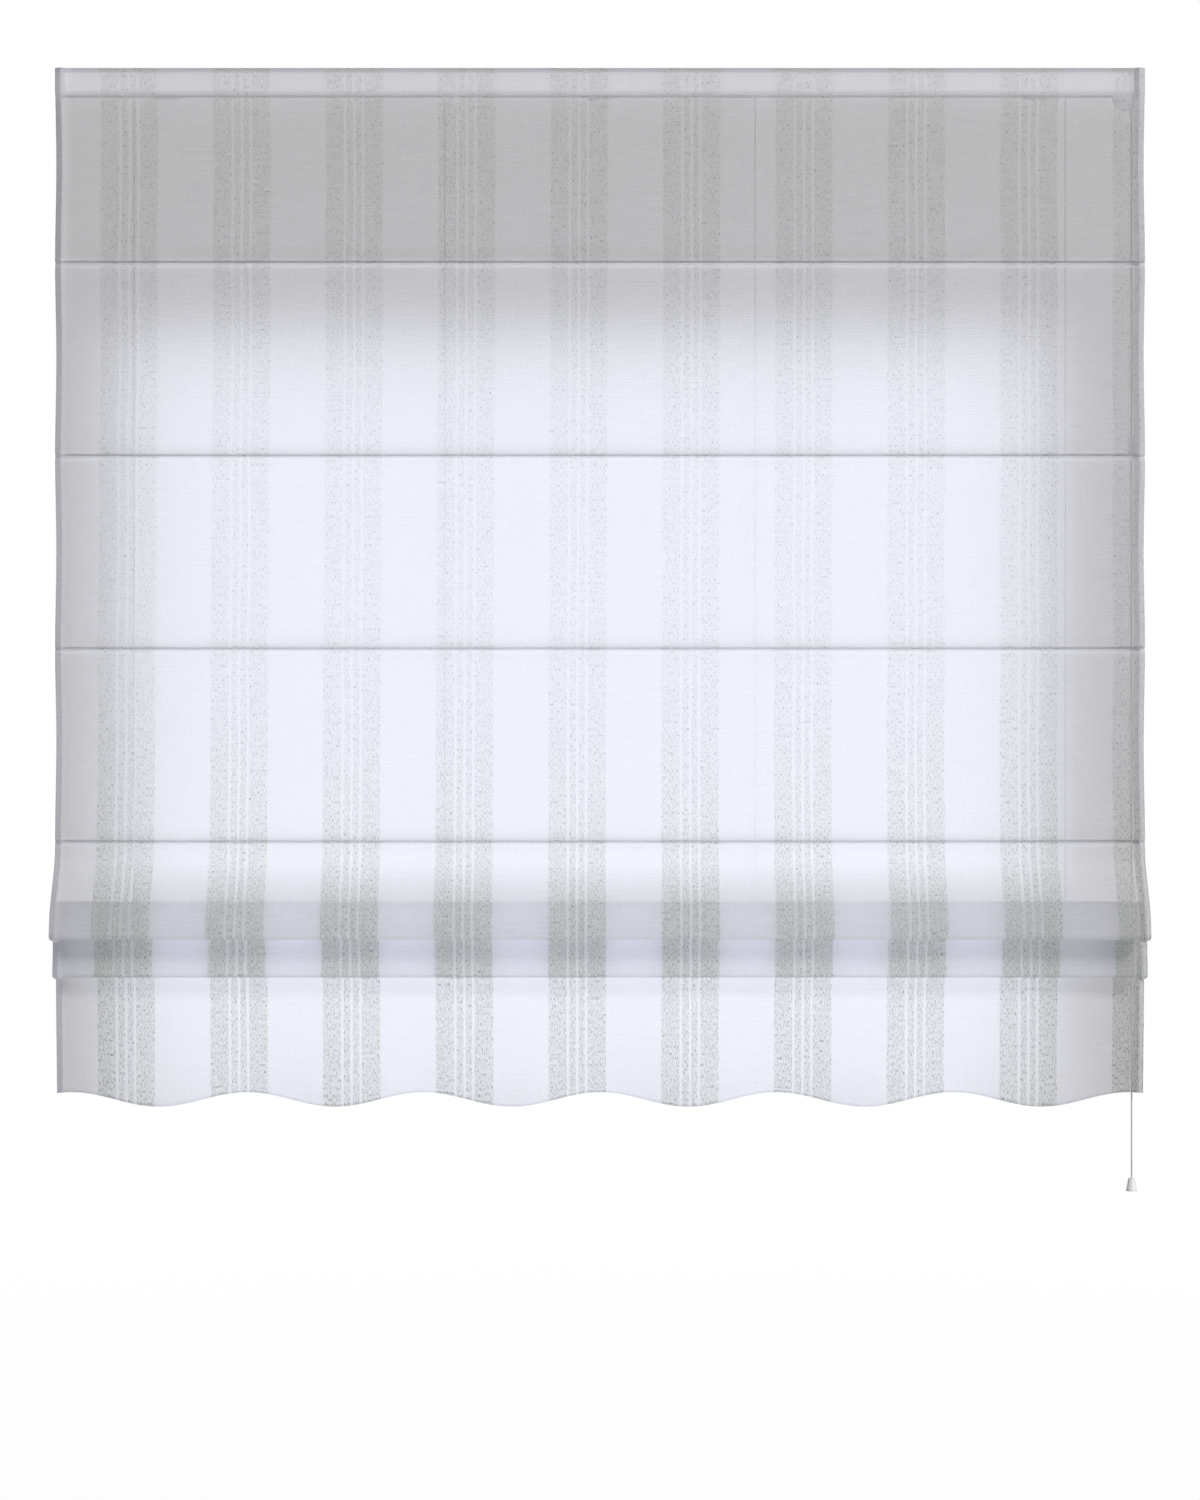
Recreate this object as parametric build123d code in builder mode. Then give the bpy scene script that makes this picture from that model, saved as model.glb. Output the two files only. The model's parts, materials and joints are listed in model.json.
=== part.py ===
from build123d import *
import os
from math import atan2, ceil, cos, degrees, radians, sin

# Roman blind with a sheer striped cloth, six staves and a corded headrail.
# Millimetres. X runs along the rail to the right, +Y points at the wall and +Z up.
# The origin lies on the wall plane, at the screw hole of the middle bracket.

# Cloth
cloth_width = 1400
cloth_thickness = 0.5
cloth_above_rail = 2
upper_stave_count = 4
first_drop = 250
panel_pitch = 248
fold_stave_drop = 80
stack_pitch = 10
valance_drop = 241
side_hem_width = 9
side_hem_rise = 0.2
tuck_depth = 3
tuck_half_height = 5
tuck_shoulder_round = 4
tuck_crease_round = 1

# The two drawn-up folds, with the points of their fronts as shares of depth and drop
fold_1_depth = 60
fold_1_drop = 123
fold_1_bottom_round = 6
fold_1_sway_round = 50
fold_1_front_shares = ((0.03, 0.19), (0.86, 0.72))
fold_2_depth = 26
fold_2_drop = 93
fold_2_bottom_round = 4
fold_2_sway_round = 50
fold_2_front_shares = ((0.75, 0.45),)
fold_crease_round = 0.6
fold_tuck_half_height = 3.5
fold_band_end_share = 0.75

# Woven stripes, from the left edge to the right hem
stripe_pitch = 144.6
stripe_width = 75
stripe_start = 56.5
stripe_ridge = 0.2

# Wavy hem, with a crest in the middle of the width
wave_pitch = 227.3
wave_height = 18

# Staves, their tips and the rings behind the tucks
stave_diameter = 4
stave_sides = 16
stave_inset = 4
tip_length = 8
tip_wall = 0.4
tip_fit = 0.02
tip_chamfer = 1
tip_sides = 8
casing_clearance = 0.3
casing_sides = 8
ring_inner_diameter = 10
ring_wire = 2
ring_sides = 10
ring_gap = 0.2

# Headrail and its ends, short of the cloth's edges
rail_inset = 4
rail_height = 32
rail_depth = 25
rail_wall = 1.2
rail_lip = 3
rail_groove = 3.3
rail_hook_lip = 3
cap_thickness = 2
cap_plug_length = 4
cap_plug_wall = 1.6
cap_fit = 0.2

# Tapes that hold the cloth to the rail
tape_height = 25
hook_tape_thickness = 1
loop_tape_thickness = 1
tape_end_gap = 1

# Wall brackets, one in the middle and one near each end
bracket_inset = 140
bracket_width = 30
bracket_strip = 1.5
bracket_bend = 1.5
bracket_head_room = 4.5
bracket_groove_gap = 0.3
bracket_nib = 2.5
bracket_nib_gap = 0.2
bracket_hole = 4.5

# Cords, the outer ones this far in from the cloth's edges
cord_count = 4
outer_cord_inset = 100
lift_cord_diameter = 1.2
lane_pitch = 2.2
cord_gap = 0.3
cord_bore_clearance = 0.1
cord_sides = 4
stop_diameter = 12.4
stop_height = 8
stop_chamfer = 1.5
stop_gap = 0.2
stop_floor = 2
bead_sides = 12

# Rollers and the guides that hold them
roller_diameter = 10
roller_length = 10
roller_sides = 20
roller_running_fit = 0.05
roller_side_gap = 0.2
roller_floor_gap = 3.8
pin_diameter = 2.5
pin_sides = 16
pin_fit = 0.02
pin_hole_sides = 8
cheek_thickness = 1.8
cheek_width = 11
cheek_chamfer = 3
guide_length = 24
guide_base = 2
guide_fit = 0.2
guide_slot = 6

# Cord lock at the right end of the rail
draw_cord_inset = 15
lock_reach = 25
lock_wall = 2
lock_flange = 2
lock_height_over_axis = 10
lock_roof = 2
lock_nose = 17
lock_nose_cut = 11
pawl_drop = 19
pawl_tip_radius = 10
pawl_root_radius = 8.4
pawl_hub_radius = 3.6
pawl_tail = 10.5
pawl_tail_half = 2.5
pawl_tail_step = 1.5
pawl_side_gap = 0.3
pawl_tooth_count = 3
pawl_first_angle = -20
pawl_tooth_angle = 16
pawl_nose_angle = 5

# Joiner, pull cord and bell
joiner_drop = 440
joiner_diameter = 11.5
joiner_length = 28
joiner_chamfer = 1.2
joiner_mouth_diameter = 8.6
joiner_hole_depth = 6
joiner_cord_end = 1
pull_cord_diameter = 2
pull_cord_length = 936
bell_top_diameter = 9
bell_shoulder = 0.8
bell_base_diameter = 14.5
bell_height = 16.7
bell_wall = 1.2
bell_roof = 2.5
bell_sides = 20
pull_knot_diameter = 5
pull_knot_height = 4
pull_knot_gap = 0.1

# How far a cut runs past the faces that it opens
overrun = 5

os.makedirs("parts", exist_ok=True)

# Places across the width
half_width = cloth_width / 2
rail_length = cloth_width - 2 * rail_inset
bracket_x = half_width - bracket_inset
draw_cord_x = half_width - draw_cord_inset
outer_cord_x = half_width - outer_cord_inset
cord_pitch = 2 * outer_cord_x / (cord_count - 1)
cord_x = [cord_pitch * n - outer_cord_x for n in range(cord_count)]

# Places in depth, from the wall to the front of the cloth
rail_back_y = -bracket_strip - bracket_head_room
rail_front_y = rail_back_y - rail_depth
rail_middle_y = (rail_back_y + rail_front_y) / 2
hook_tape_y = rail_front_y - hook_tape_thickness
loop_tape_y = hook_tape_y - loop_tape_thickness
cloth_y = loop_tape_y - cloth_thickness / 2
tuck_y = cloth_y + tuck_depth
tip_radius = stave_diameter / 2 + tip_wall
casing_inner_radius = tip_radius + casing_clearance
casing_outer_radius = casing_inner_radius + cloth_thickness
stave_y = tuck_y + casing_inner_radius + cloth_thickness / 2
ring_middle_radius = (ring_inner_diameter + ring_wire) / 2
lane_y = stave_y + casing_outer_radius + ring_gap + ring_middle_radius + ring_wire / 2

# Heights
rail_top = rail_height / 2
rail_bottom = -rail_height / 2
lip_top = rail_bottom + rail_wall
web_top = rail_top - rail_groove
web_bottom = web_top - rail_wall
cloth_top = rail_top + cloth_above_rail
stave_z = [cloth_top - first_drop - panel_pitch * n for n in range(upper_stave_count)]
fold_1_top = stave_z[-1]
fold_2_top = fold_1_top - fold_stave_drop
valance_top = fold_2_top - stack_pitch
stave_z += [fold_2_top, valance_top]
hem_z = valance_top - valance_drop
base_top = lip_top + guide_base
roller_z = base_top + roller_floor_gap + roller_diameter / 2

# Cord lanes: each cord runs straight along its own lane, side by side with the others
cord_lanes = [lane_y + lane_pitch * (n - (cord_count - 1) / 2) for n in range(cord_count)]
cord_bend = roller_diameter / 2 + lift_cord_diameter / 2 + cord_gap
lane_z = roller_z + cord_bend
cheek_inner = roller_length / 2 + roller_side_gap
cheek_outer = cheek_inner + cheek_thickness
joiner_top = rail_bottom - joiner_drop
stop_top = valance_top - ring_wire / 2 - stop_gap
cord_foot = stop_top - stop_height + stop_floor


# Headrail: a channel open below, with lips for the guides and a groove above for the brackets
mouth_width = rail_depth - 2 * rail_lip
channel_width = rail_depth - 2 * rail_wall
with BuildPart() as headrail:
    with BuildSketch(Plane.YZ):
        with Locations((rail_middle_y, 0)):
            Rectangle(rail_depth, rail_height)
        with Locations((rail_middle_y, (web_bottom + lip_top) / 2)):
            Rectangle(channel_width, web_bottom - lip_top, mode=Mode.SUBTRACT)
        with Locations((rail_middle_y, lip_top)):
            Rectangle(mouth_width, rail_wall + overrun, align=(Align.CENTER, Align.MAX), mode=Mode.SUBTRACT)
        with Locations((rail_front_y + rail_wall, web_top)):
            Rectangle(rail_depth, rail_groove - rail_wall, align=Align.MIN, mode=Mode.SUBTRACT)
        with Locations((rail_front_y + rail_wall + rail_hook_lip, web_top)):
            Rectangle(rail_depth, rail_groove + overrun, align=Align.MIN, mode=Mode.SUBTRACT)
    extrude(amount=rail_length / 2, both=True)
headrail.part.label = "headrail"
export_step(headrail.part, "parts/headrail.step")


# End caps: a plate over the rail's section, with a hollow plug in its channel
plug_width = channel_width - 2 * cap_fit
plug_height = web_bottom - lip_top - 2 * cap_fit
plug_z = (web_bottom + lip_top) / 2
for side, name in ((-1, "end_cap_left"), (1, "end_cap_right")):
    with BuildPart() as end_cap:
        with BuildSketch(Plane.YZ.offset(side * rail_length / 2)):
            with Locations((rail_middle_y, 0)):
                Rectangle(rail_depth, rail_height)
        extrude(amount=side * cap_thickness)
        with BuildSketch(Plane.YZ.offset(side * rail_length / 2)):
            with Locations((rail_middle_y, plug_z)):
                Rectangle(plug_width, plug_height)
                Rectangle(plug_width - 2 * cap_plug_wall, plug_height - 2 * cap_plug_wall, mode=Mode.SUBTRACT)
        extrude(amount=-side * cap_plug_length)
    end_cap.part.label = name
    export_step(end_cap.part, f"parts/{name}.step")


# Hook tape on the rail's front, and the loop tape sewn behind the cloth's top
tape_length = cloth_width - 2 * side_hem_width - 2 * tape_end_gap
with BuildPart() as hook_tape:
    with BuildSketch(Plane.XZ.offset(-rail_front_y)):
        Rectangle(tape_length, tape_height)
    extrude(amount=hook_tape_thickness)
hook_tape.part.label = "hook_tape"
export_step(hook_tape.part, "parts/hook_tape.step")

with BuildPart() as loop_tape:
    with BuildSketch(Plane.XZ.offset(-hook_tape_y)):
        Rectangle(tape_length, tape_height)
    extrude(amount=loop_tape_thickness)
loop_tape.part.label = "loop_tape"
export_step(loop_tape.part, "parts/loop_tape.step")


# Wall brackets: one folded strip each, its arm under the rail's hook lip and its nib behind the back lip
arm_end_y = rail_front_y + rail_wall + bracket_groove_gap
arm_z = web_top + bracket_strip / 2
plate_y = -bracket_strip / 2
tongue_z = rail_bottom - bracket_strip / 2
nib_y = rail_back_y - rail_lip - bracket_nib_gap - bracket_bend
for x, name in ((-bracket_x, "bracket_left"), (0, "bracket_middle"), (bracket_x, "bracket_right")):
    with BuildPart() as bracket:
        with BuildSketch(Plane.YZ.offset(x)):
            with BuildLine():
                FilletPolyline(
                    (arm_end_y, arm_z),
                    (plate_y, arm_z),
                    (plate_y, tongue_z),
                    (nib_y, tongue_z),
                    (nib_y, tongue_z + bracket_nib),
                    radius=bracket_bend,
                )
            trace(line_width=bracket_strip)
        extrude(amount=bracket_width / 2, both=True)
        with Locations((x, plate_y, 0)):
            Cylinder(bracket_hole / 2, bracket_strip + overrun, rotation=(90, 0, 0), mode=Mode.SUBTRACT)
    bracket.part.label = name
    export_step(bracket.part, f"parts/{name}.step")


# Cord guides: a base on the rail's lips and two cheeks that hold a roller's pin
for number, x in enumerate(cord_x, start=1):
    axis_x = x + cord_bend
    with BuildPart() as cord_guide:
        with BuildSketch(Plane.XY.offset(lip_top)):
            with Locations((axis_x, rail_middle_y)):
                Rectangle(guide_length, channel_width - 2 * guide_fit)
            with Locations((x, lane_y)):
                Rectangle(guide_slot, 2 * cheek_inner, mode=Mode.SUBTRACT)
        extrude(amount=guide_base)
        with BuildSketch(Plane.XZ.offset(-lane_y)) as cheek:
            with Locations((axis_x, base_top)):
                Rectangle(
                    cheek_width,
                    roller_z + cheek_width / 2 - base_top,
                    align=(Align.CENTER, Align.MIN),
                )
            chamfer(cheek.vertices().group_by(Axis.Z)[-1], cheek_chamfer)
        extrude(amount=cheek_outer, both=True)
        with BuildSketch(Plane.XZ.offset(-lane_y)):
            with Locations((axis_x, base_top)):
                Rectangle(guide_length, rail_height, align=(Align.CENTER, Align.MIN))
        extrude(amount=cheek_inner, both=True, mode=Mode.SUBTRACT)
        with BuildSketch(Plane.XZ.offset(-lane_y)):
            with Locations((axis_x, roller_z)):
                RegularPolygon(pin_diameter / 2 + pin_fit, pin_hole_sides, major_radius=False)
        extrude(amount=cheek_outer + overrun, both=True, mode=Mode.SUBTRACT)
    cord_guide.part.label = f"cord_guide_{number}"
    export_step(cord_guide.part, f"parts/cord_guide_{number}.step")


# Rollers: one in each guide and one in the cord lock, wide enough for all four cords side by side
lock_roller_x = draw_cord_x - cord_bend
roller_places = [(f"guide_roller_{n}", x + cord_bend) for n, x in enumerate(cord_x, start=1)]
roller_places.append(("lock_roller", lock_roller_x))
roller_bore_radius = pin_diameter / 2 + roller_running_fit
for name, axis_x in roller_places:
    with BuildPart() as roller:
        with BuildSketch(Plane.XZ.offset(-lane_y)):
            with Locations((axis_x, roller_z)):
                RegularPolygon(roller_diameter / 2, roller_sides)
                Circle(roller_bore_radius, mode=Mode.SUBTRACT)
        extrude(amount=roller_length / 2, both=True)
    roller.part.label = name
    export_step(roller.part, f"parts/{name}.step")

with BuildPart() as guide_pins:
    with BuildSketch(Plane.XZ.offset(-lane_y)):
        with Locations([(x + cord_bend, roller_z) for x in cord_x]):
            RegularPolygon(pin_diameter / 2, pin_sides)
    extrude(amount=cheek_outer, both=True)
guide_pins.part.label = "guide_pins"
export_step(guide_pins.part, "parts/guide_pins.step")


# Cord lock: a flanged housing on the rail's lips, its nose hanging below with the pawl inside
anvil_x = draw_cord_x + lift_cord_diameter / 2 + cord_gap
lock_right_x = anvil_x + lock_wall
lock_left_x = anvil_x - lock_reach
lock_top = roller_z + lock_height_over_axis
nose_bottom = rail_bottom - lock_nose
pawl_z = roller_z - pawl_drop
pawl_tip_reach = pawl_tip_radius * cos(radians(pawl_first_angle))
pawl_x = draw_cord_x - lift_cord_diameter / 2 - cord_gap - pawl_tip_reach
with BuildPart() as lock_housing:
    with BuildSketch(Plane.XZ.offset(-lane_y)):
        with BuildLine():
            Polyline(
                (lock_left_x, lock_top),
                (lock_right_x, lock_top),
                (lock_right_x, nose_bottom),
                (lock_left_x + lock_nose_cut, nose_bottom),
                (lock_left_x, nose_bottom + lock_nose_cut),
                close=True,
            )
        make_face()
    extrude(amount=cheek_outer, both=True)
    with BuildSketch(Plane.XY.offset(lip_top)):
        with Locations(((lock_left_x + lock_right_x) / 2, rail_middle_y)):
            Rectangle(lock_right_x - lock_left_x + 2 * lock_flange, channel_width - 2 * guide_fit)
    extrude(amount=guide_base)
    with BuildSketch(Plane.XZ.offset(-lane_y)):
        with Locations((anvil_x, lock_top - lock_roof)):
            Rectangle(
                lock_reach + lock_flange + overrun,
                lock_top - lock_roof - nose_bottom + overrun,
                align=Align.MAX,
            )
    extrude(amount=cheek_inner, both=True, mode=Mode.SUBTRACT)
    with BuildSketch(Plane.XZ.offset(-lane_y)):
        with Locations((lock_roller_x, roller_z), (pawl_x, pawl_z)):
            RegularPolygon(pin_diameter / 2 + pin_fit, pin_hole_sides, major_radius=False)
    extrude(amount=cheek_outer + overrun, both=True, mode=Mode.SUBTRACT)
lock_housing.part.label = "lock_housing"
export_step(lock_housing.part, "parts/lock_housing.step")

for x, z, name in ((lock_roller_x, roller_z, "lock_roller_pin"), (pawl_x, pawl_z, "lock_pawl_pin")):
    with BuildPart() as lock_pin:
        with BuildSketch(Plane.XZ.offset(-lane_y)):
            with Locations((x, z)):
                RegularPolygon(pin_diameter / 2, pin_sides)
        extrude(amount=cheek_outer, both=True)
    lock_pin.part.label = name
    export_step(lock_pin.part, f"parts/{name}.step")


# Pawl: a toothed nose that bites the cords against the anvil wall, and a heavier tail that keeps it shut
def pawl_point(radius, angle):
    return (radius * cos(radians(angle)), radius * sin(radians(angle)))


tooth_points = []
for tooth in range(pawl_tooth_count):
    tip_angle = pawl_first_angle - tooth * pawl_tooth_angle
    tooth_points.append(pawl_point(pawl_tip_radius, tip_angle))
    tooth_points.append(pawl_point(pawl_root_radius, tip_angle - pawl_tooth_angle / 2))
tooth_points.pop()
with BuildPart() as lock_pawl:
    with BuildSketch(Plane((pawl_x, lane_y, pawl_z), x_dir=(1, 0, 0), z_dir=(0, -1, 0))):
        with BuildLine():
            Polyline(
                (0, pawl_hub_radius),
                pawl_point(pawl_root_radius, pawl_nose_angle),
                *tooth_points,
                (0, -pawl_hub_radius),
                (pawl_tail_step - pawl_tail, -pawl_tail_half),
                (-pawl_tail, 0),
                (pawl_tail_step - pawl_tail, pawl_tail_half),
                close=True,
            )
        make_face()
        Circle(pawl_hub_radius)
        Circle(pin_diameter / 2 + roller_running_fit, mode=Mode.SUBTRACT)
    extrude(amount=cheek_inner - pawl_side_gap, both=True)
lock_pawl.part.label = "lock_pawl"
export_step(lock_pawl.part, "parts/lock_pawl.step")


# Lift cords: up behind the cloth, over a guide roller, along the rail, over the lock roller and down
for number, (x, lane) in enumerate(zip(cord_x, cord_lanes), start=1):
    with BuildPart() as lift_cord:
        with BuildLine(Plane.XZ.offset(-lane)) as cord_path:
            FilletPolyline(
                (x, cord_foot),
                (x, lane_z),
                (draw_cord_x, lane_z),
                (draw_cord_x, joiner_top - joiner_hole_depth + joiner_cord_end),
                radius=cord_bend,
            )
        with BuildSketch(Plane((x, lane, cord_foot))):
            RegularPolygon(lift_cord_diameter / 2, cord_sides)
        sweep(path=cord_path.wires()[0])
    lift_cord.part.label = f"lift_cord_{number}"
    export_step(lift_cord.part, f"parts/lift_cord_{number}.step")


# Cord stops: beads that the cords end in, below the rings of the lowest stave
with BuildPart() as cord_stops:
    with BuildSketch(Plane.XY.offset(stop_top)):
        with Locations([(x, lane_y) for x in cord_x]):
            RegularPolygon(stop_diameter / 2, bead_sides)
    extrude(amount=-stop_height)
    bead_faces = cord_stops.faces().filter_by(Axis.Z)
    chamfer(bead_faces.edges(), stop_chamfer)
    with BuildSketch(Plane.XY.offset(stop_top)):
        with Locations([(x, lane) for x, lane in zip(cord_x, cord_lanes)]):
            RegularPolygon(lift_cord_diameter / 2 + cord_bore_clearance, cord_sides)
    extrude(amount=stop_floor - stop_height, mode=Mode.SUBTRACT)
cord_stops.part.label = "cord_stops"
export_step(cord_stops.part, "parts/cord_stops.step")


# Joiner: a bead with a mouth for the four lift cords above and a hole for the pull cord below
with BuildPart() as cord_joiner:
    with BuildSketch(Plane.XY.offset(joiner_top)):
        with Locations((draw_cord_x, lane_y)):
            RegularPolygon(joiner_diameter / 2, bead_sides)
    extrude(amount=-joiner_length)
    joiner_ends = cord_joiner.faces().filter_by(Axis.Z)
    chamfer(joiner_ends.edges(), joiner_chamfer)
    with BuildSketch(Plane.XY.offset(joiner_top)):
        with Locations((draw_cord_x, lane_y)):
            RegularPolygon(joiner_mouth_diameter / 2, bead_sides)
    extrude(amount=-joiner_hole_depth, mode=Mode.SUBTRACT)
    with BuildSketch(Plane.XY.offset(joiner_top - joiner_length)):
        with Locations((draw_cord_x, lane_y)):
            RegularPolygon(pull_cord_diameter / 2 + cord_bore_clearance, bead_sides, major_radius=False)
    extrude(amount=joiner_hole_depth, mode=Mode.SUBTRACT)
cord_joiner.part.label = "cord_joiner"
export_step(cord_joiner.part, "parts/cord_joiner.step")


# Pull cord: hangs straight from the joiner to the knot that carries the bell
pull_cord_top = joiner_top - joiner_length + joiner_hole_depth
pull_cord_bottom = pull_cord_top - pull_cord_length
with BuildPart() as pull_cord:
    with BuildSketch(Plane.XY.offset(pull_cord_bottom)):
        with Locations((draw_cord_x, lane_y)):
            RegularPolygon(pull_cord_diameter / 2, bead_sides)
    extrude(amount=pull_cord_length)
    with BuildSketch(Plane.XY.offset(pull_cord_bottom)):
        with Locations((draw_cord_x, lane_y)):
            RegularPolygon(pull_knot_diameter / 2, bead_sides)
    extrude(amount=pull_knot_height / 2, both=True)
pull_cord.part.label = "pull_cord"
export_step(pull_cord.part, "parts/pull_cord.step")


# Bell: a hollow cone with a broken shoulder, hung on the cord's knot
bell_roof_z = pull_cord_bottom + pull_knot_height / 2 + pull_knot_gap
bell_top = bell_roof_z + bell_roof
bell_bottom = bell_top - bell_height
bell_inner_height = bell_roof_z - bell_bottom
bell_taper = degrees(atan2((bell_base_diameter - bell_top_diameter) / 2, bell_height))
with BuildPart() as pull_bell:
    with BuildSketch(Plane.XY.offset(bell_bottom)):
        with Locations((draw_cord_x, lane_y)):
            RegularPolygon(bell_base_diameter / 2, bell_sides)
    extrude(amount=bell_height, taper=bell_taper)
    chamfer(pull_bell.faces().sort_by(Axis.Z)[-1].edges(), bell_shoulder)
    with BuildSketch(Plane.XY.offset(bell_bottom)):
        with Locations((draw_cord_x, lane_y)):
            RegularPolygon(bell_base_diameter / 2 - bell_wall, bell_sides)
    extrude(amount=bell_inner_height, taper=bell_taper, mode=Mode.SUBTRACT)
    with BuildSketch(Plane.XY.offset(bell_roof_z)):
        with Locations((draw_cord_x, lane_y)):
            RegularPolygon(pull_cord_diameter / 2 + cord_bore_clearance, bead_sides, major_radius=False)
    extrude(amount=bell_roof, both=True, mode=Mode.SUBTRACT)
pull_bell.part.label = "pull_bell"
export_step(pull_bell.part, "parts/pull_bell.step")


# Staves with their tips, and the rings behind each tuck
stave_length = cloth_width - 2 * stave_inset
for number, z in enumerate(stave_z, start=1):
    with BuildPart() as stave:
        with BuildSketch(Plane.YZ):
            with Locations((stave_y, z)):
                RegularPolygon(stave_diameter / 2, stave_sides)
        extrude(amount=stave_length / 2, both=True)
    stave.part.label = f"stave_{number}"
    export_step(stave.part, f"parts/stave_{number}.step")

    with BuildPart() as stave_tips:
        for side in (-1, 1):
            with BuildSketch(Plane.YZ.offset(side * half_width)):
                with Locations((stave_y, z)):
                    RegularPolygon(tip_radius, tip_sides)
            extrude(amount=-side * tip_length)
        tip_ends = stave_tips.faces().filter_by(Axis.X).sort_by(Axis.X)
        chamfer([*tip_ends[0].edges(), *tip_ends[-1].edges()], tip_chamfer)
        with BuildSketch(Plane.YZ):
            with Locations((stave_y, z)):
                RegularPolygon(stave_diameter / 2 + tip_fit, tip_sides, major_radius=False)
        extrude(amount=stave_length / 2, both=True, mode=Mode.SUBTRACT)
    stave_tips.part.label = f"stave_tips_{number}"
    export_step(stave_tips.part, f"parts/stave_tips_{number}.step")

    with BuildPart() as rings:
        with BuildSketch(Plane.XY.offset(z)):
            with Locations([(x, lane_y) for x in cord_x]):
                RegularPolygon(ring_middle_radius + ring_wire / 2, ring_sides, major_radius=False)
                RegularPolygon(
                    ring_middle_radius - ring_wire / 2,
                    ring_sides,
                    major_radius=False,
                    mode=Mode.SUBTRACT,
                )
        extrude(amount=ring_wire / 2, both=True)
    rings.part.label = f"rings_{number}"
    export_step(rings.part, f"parts/rings_{number}.step")


# Cloth: one folded sheet, drawn as its side profile from the top edge down to the hem
def fold_points(front_y, top_z, depth, drop, front_shares, bottom_round):
    """Points of a fold from its top: the swaying front, then the two corners of its round bottom."""
    points = [(front_y - forward * depth, top_z - down * drop) for forward, down in front_shares]
    points.append((front_y - depth, top_z - drop))
    points.append((front_y - depth + 2 * bottom_round, top_z - drop))
    return points


fold_1_points = fold_points(
    cloth_y, fold_1_top, fold_1_depth, fold_1_drop, fold_1_front_shares, fold_1_bottom_round
)
fold_2_points = fold_points(
    cloth_y, fold_2_top, fold_2_depth, fold_2_drop, fold_2_front_shares, fold_2_bottom_round
)
fold_1_rounds = [fold_1_sway_round] * len(fold_1_front_shares) + [fold_1_bottom_round] * 2
fold_2_rounds = [fold_2_sway_round] * len(fold_2_front_shares) + [fold_2_bottom_round] * 2
hem_low = hem_z - wave_height / 2
fold_path = [
    (cloth_y, fold_1_top - tuck_half_height),
    *fold_1_points,
    (tuck_y, fold_2_top + fold_tuck_half_height),
    (tuck_y, fold_2_top - fold_tuck_half_height),
    *fold_2_points,
    (tuck_y, valance_top + fold_tuck_half_height),
    (tuck_y, hem_low - overrun),
]
fold_rounds = [*fold_1_rounds, *[fold_crease_round] * 2, *fold_2_rounds, fold_crease_round]


def front_run(start, points, sway_round):
    """The front of a fold, from its top to shortly before its round bottom, with its sway rounds."""
    sways = points[:-2]
    corner = points[-2]
    end = tuple(a + (b - a) * fold_band_end_share for a, b in zip(sways[-1], corner))
    return [start, *sways, end], [sway_round] * len(sways)


fold_fronts = [
    front_run(fold_path[0], fold_1_points, fold_1_sway_round),
    front_run((tuck_y, fold_2_top - fold_tuck_half_height), fold_2_points, fold_2_sway_round),
]

sheet_path = [(cloth_y, cloth_top)]
sheet_rounds = []
panel_spans = []
panel_start = cloth_top
for z in stave_z[:upper_stave_count]:
    sheet_path += [(cloth_y, z + tuck_half_height), (tuck_y, z), (cloth_y, z - tuck_half_height)]
    sheet_rounds += [tuck_shoulder_round, tuck_crease_round, tuck_shoulder_round]
    panel_spans.append((panel_start, z + tuck_half_height))
    panel_start = z - tuck_half_height
sheet_path += fold_path[1:]
sheet_rounds += fold_rounds

# The casings' flats face the sheet
casing_turn = 180 / casing_sides
with BuildSketch(Plane.YZ) as sheet_profile:
    with BuildLine() as sheet_line:
        FilletPolyline(*sheet_path, radius=sheet_rounds)
    trace(line_width=cloth_thickness)
    with Locations([(stave_y, z) for z in stave_z]):
        RegularPolygon(casing_outer_radius, casing_sides, major_radius=False, rotation=casing_turn)
        RegularPolygon(
            casing_inner_radius,
            casing_sides,
            major_radius=False,
            rotation=casing_turn,
            mode=Mode.SUBTRACT,
        )


def band_profile(band_height, side, runs):
    """Profile of a raised band on one face of the flat panels, the valance and the given fold runs."""
    face = side * cloth_thickness / 2
    flat_spans = [(cloth_y, top, bottom) for top, bottom in panel_spans]
    flat_spans.append((tuck_y, valance_top - casing_outer_radius, hem_low - overrun))
    with BuildSketch(Plane.YZ) as profile:
        for middle_y, top, bottom in flat_spans:
            with Locations((middle_y + face, (top + bottom) / 2)):
                Rectangle(2 * band_height, top - bottom)
        for points, rounds in runs:
            with BuildLine():
                FilletPolyline(*[(y + face, z) for y, z in points], radius=rounds)
            trace(line_width=2 * band_height)
    return profile.sketch_local


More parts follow.
